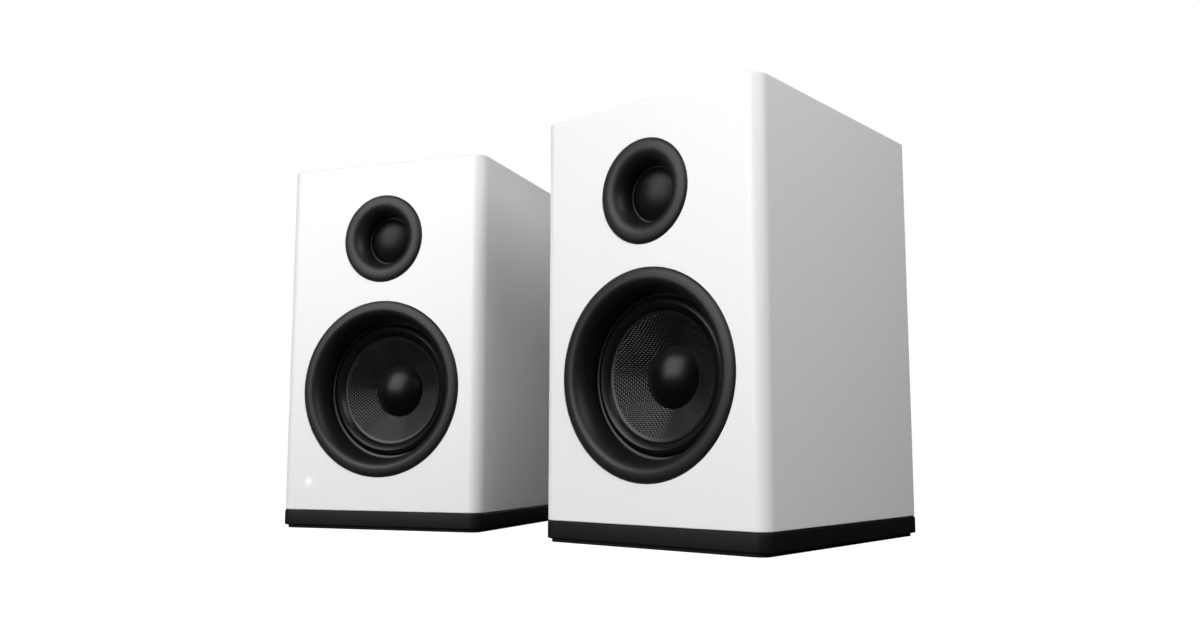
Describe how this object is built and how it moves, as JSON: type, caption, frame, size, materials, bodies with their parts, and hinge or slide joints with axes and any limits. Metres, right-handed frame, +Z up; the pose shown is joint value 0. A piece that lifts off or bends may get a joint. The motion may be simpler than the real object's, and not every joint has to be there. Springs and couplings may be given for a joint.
{
  "type": "desktop speaker pair",
  "caption": "Two-way desktop speakers standing side by side and toed in: white boxes on black plinths, a flared woofer and dome tweeter in each, controls and sockets behind.",
  "frame": {"origin": "on the desk, at the middle of the pair's outline seen from above", "axes": "+Z up; +X along the pair from the powered box to the passive one; both fronts face -Y, each box toed in by 10.18 degrees"},
  "size_m": [0.3894, 0.2152, 0.227],
  "materials": {
    "satin_white_paint": "satin white paint over fibreboard",
    "black_board": "black painted board",
    "plinth_black": "matt black moulded plinth",
    "foot_rubber": "matt black rubber foam",
    "port_black": "matt black plastic",
    "trim_black": "fine satin black moulding",
    "basket_black": "black coated metal",
    "surround_rubber": "smooth black rubber",
    "woven_cone": "resin-stiffened woven fibre, fine weave",
    "dust_cap_black": "satin black moulding",
    "dome_black": "coated black dome skin",
    "copper_coil": "enamelled copper wire",
    "spider_cloth": "treated corrugated cloth",
    "motor_steel": "plated mild steel",
    "ferrite": "dark grey sintered ferrite",
    "plated_magnet": "nickel plated magnet",
    "black_screw": "black oxide steel",
    "panel_black": "black powder-coated steel plate",
    "circuit_board": "green circuit board with moulded components",
    "socket_nickel": "nickel plated metal",
    "knob_black": "ribbed black plastic",
    "switch_frame": "black nylon",
    "rocker_black": "glossy black plastic",
    "led_lens": "clear lens, lit white",
    "terminal_black": "black plastic",
    "lever_red": "red plastic",
    "lever_black": "black plastic"
  },
  "bodies": {
    "left_speaker": {"left_amp_board": "circuit_board", "left_amp_panel": "panel_black", "left_back_board": "black_board", "left_base": "plinth_black", "left_cabinet": "satin_white_paint", "left_foot_pad": "foot_rubber", "left_port_tube": "port_black", "left_power_board": "circuit_board", "left_rear_sockets": "socket_nickel", "left_screws": "black_screw", "left_status_led": "led_lens", "left_switch_housing": "switch_frame", "left_terminal_block": "terminal_black", "left_tweeter_magnet": "plated_magnet", "left_tweeter_pot": "motor_steel", "left_tweeter_surround": "surround_rubber", "left_tweeter_trim": "trim_black", "left_woofer_basket": "basket_black", "left_woofer_magnet": "ferrite", "left_woofer_spider": "spider_cloth", "left_woofer_surround": "surround_rubber", "left_woofer_top_plate": "motor_steel", "left_woofer_trim": "trim_black", "left_woofer_yoke": "motor_steel"},
    "right_speaker": {"right_back_board": "black_board", "right_base": "plinth_black", "right_cabinet": "satin_white_paint", "right_crossover_board": "circuit_board", "right_foot_pad": "foot_rubber", "right_port_tube": "port_black", "right_screws": "black_screw", "right_terminal_block": "terminal_black", "right_terminal_plate": "panel_black", "right_tweeter_magnet": "plated_magnet", "right_tweeter_pot": "motor_steel", "right_tweeter_surround": "surround_rubber", "right_tweeter_trim": "trim_black", "right_woofer_basket": "basket_black", "right_woofer_magnet": "ferrite", "right_woofer_spider": "spider_cloth", "right_woofer_surround": "surround_rubber", "right_woofer_top_plate": "motor_steel", "right_woofer_trim": "trim_black", "right_woofer_yoke": "motor_steel"},
    "left_woofer_cone_body": {"left_woofer_cone": "woven_cone", "left_woofer_dust_cap": "dust_cap_black", "left_woofer_voice_coil": "copper_coil"},
    "left_tweeter_dome_body": {"left_tweeter_dome": "dome_black", "left_tweeter_voice_coil": "copper_coil"},
    "left_lever_red": {"left_terminal_lever_red": "lever_red"},
    "left_lever_black": {"left_terminal_lever_black": "lever_black"},
    "right_woofer_cone_body": {"right_woofer_cone": "woven_cone", "right_woofer_dust_cap": "dust_cap_black", "right_woofer_voice_coil": "copper_coil"},
    "right_tweeter_dome_body": {"right_tweeter_dome": "dome_black", "right_tweeter_voice_coil": "copper_coil"},
    "right_lever_red": {"right_terminal_lever_red": "lever_red"},
    "right_lever_black": {"right_terminal_lever_black": "lever_black"},
    "volume_knob": {"left_volume_knob": "knob_black"},
    "power_rocker": {"left_power_rocker": "rocker_black"}
  },
  "joints": [
    {"name": "right_speaker_spacing", "type": "slide", "parent": "left_speaker", "child": "right_speaker", "axis": [1, 0, 0], "range_m": [-0.05, 0.8]},
    {"name": "left_woofer_travel", "type": "slide", "parent": "left_speaker", "child": "left_woofer_cone_body", "axis": [0.1767, -0.9843, 0], "range_m": [-0.003, 0.003], "stiffness_N_per_m": 900, "deforming": ["left_woofer_surround", "left_woofer_spider"]},
    {"name": "left_tweeter_travel", "type": "slide", "parent": "left_speaker", "child": "left_tweeter_dome_body", "axis": [0.1767, -0.9843, 0], "range_m": [-0.0004, 0.0004], "stiffness_N_per_m": 1200, "deforming": ["left_tweeter_surround"]},
    {"name": "left_lever_red_press", "type": "hinge", "parent": "left_speaker", "child": "left_lever_red", "pos_m": [-0.13283, 0.08657, 0.074], "axis": [0.9843, 0.1767, 0], "range_deg": [0, 20], "stiffness_Nm_per_rad": 0.05, "springref_deg": -11.46},
    {"name": "left_lever_black_press", "type": "hinge", "parent": "left_speaker", "child": "left_lever_black", "pos_m": [-0.14858, 0.08374, 0.074], "axis": [0.9843, 0.1767, 0], "range_deg": [0, 20], "stiffness_Nm_per_rad": 0.05, "springref_deg": -11.46},
    {"name": "right_woofer_travel", "type": "slide", "parent": "right_speaker", "child": "right_woofer_cone_body", "axis": [-0.1767, -0.9843, 0], "range_m": [-0.003, 0.003], "stiffness_N_per_m": 900, "deforming": ["right_woofer_surround", "right_woofer_spider"]},
    {"name": "right_tweeter_travel", "type": "slide", "parent": "right_speaker", "child": "right_tweeter_dome_body", "axis": [-0.1767, -0.9843, 0], "range_m": [-0.0004, 0.0004], "stiffness_N_per_m": 1200, "deforming": ["right_tweeter_surround"]},
    {"name": "right_lever_red_press", "type": "hinge", "parent": "right_speaker", "child": "right_lever_red", "pos_m": [0.1348, 0.05971, 0.076], "axis": [0.9843, -0.1767, 0], "range_deg": [0, 20], "stiffness_Nm_per_rad": 0.05, "springref_deg": -11.46},
    {"name": "right_lever_black_press", "type": "hinge", "parent": "right_speaker", "child": "right_lever_black", "pos_m": [0.11905, 0.06254, 0.076], "axis": [0.9843, -0.1767, 0], "range_deg": [0, 20], "stiffness_Nm_per_rad": 0.05, "springref_deg": -11.46},
    {"name": "volume_turn", "type": "hinge", "parent": "left_speaker", "child": "volume_knob", "pos_m": [-0.10437, 0.09778, 0.104], "axis": [-0.1767, 0.9843, 0], "range_deg": [-150, 150]},
    {"name": "power_rocker_tilt", "type": "hinge", "parent": "left_speaker", "child": "power_rocker", "pos_m": [-0.14232, 0.08283, 0.046], "axis": [0.9843, 0.1767, 0], "range_deg": [-16, 0]}
  ]
}
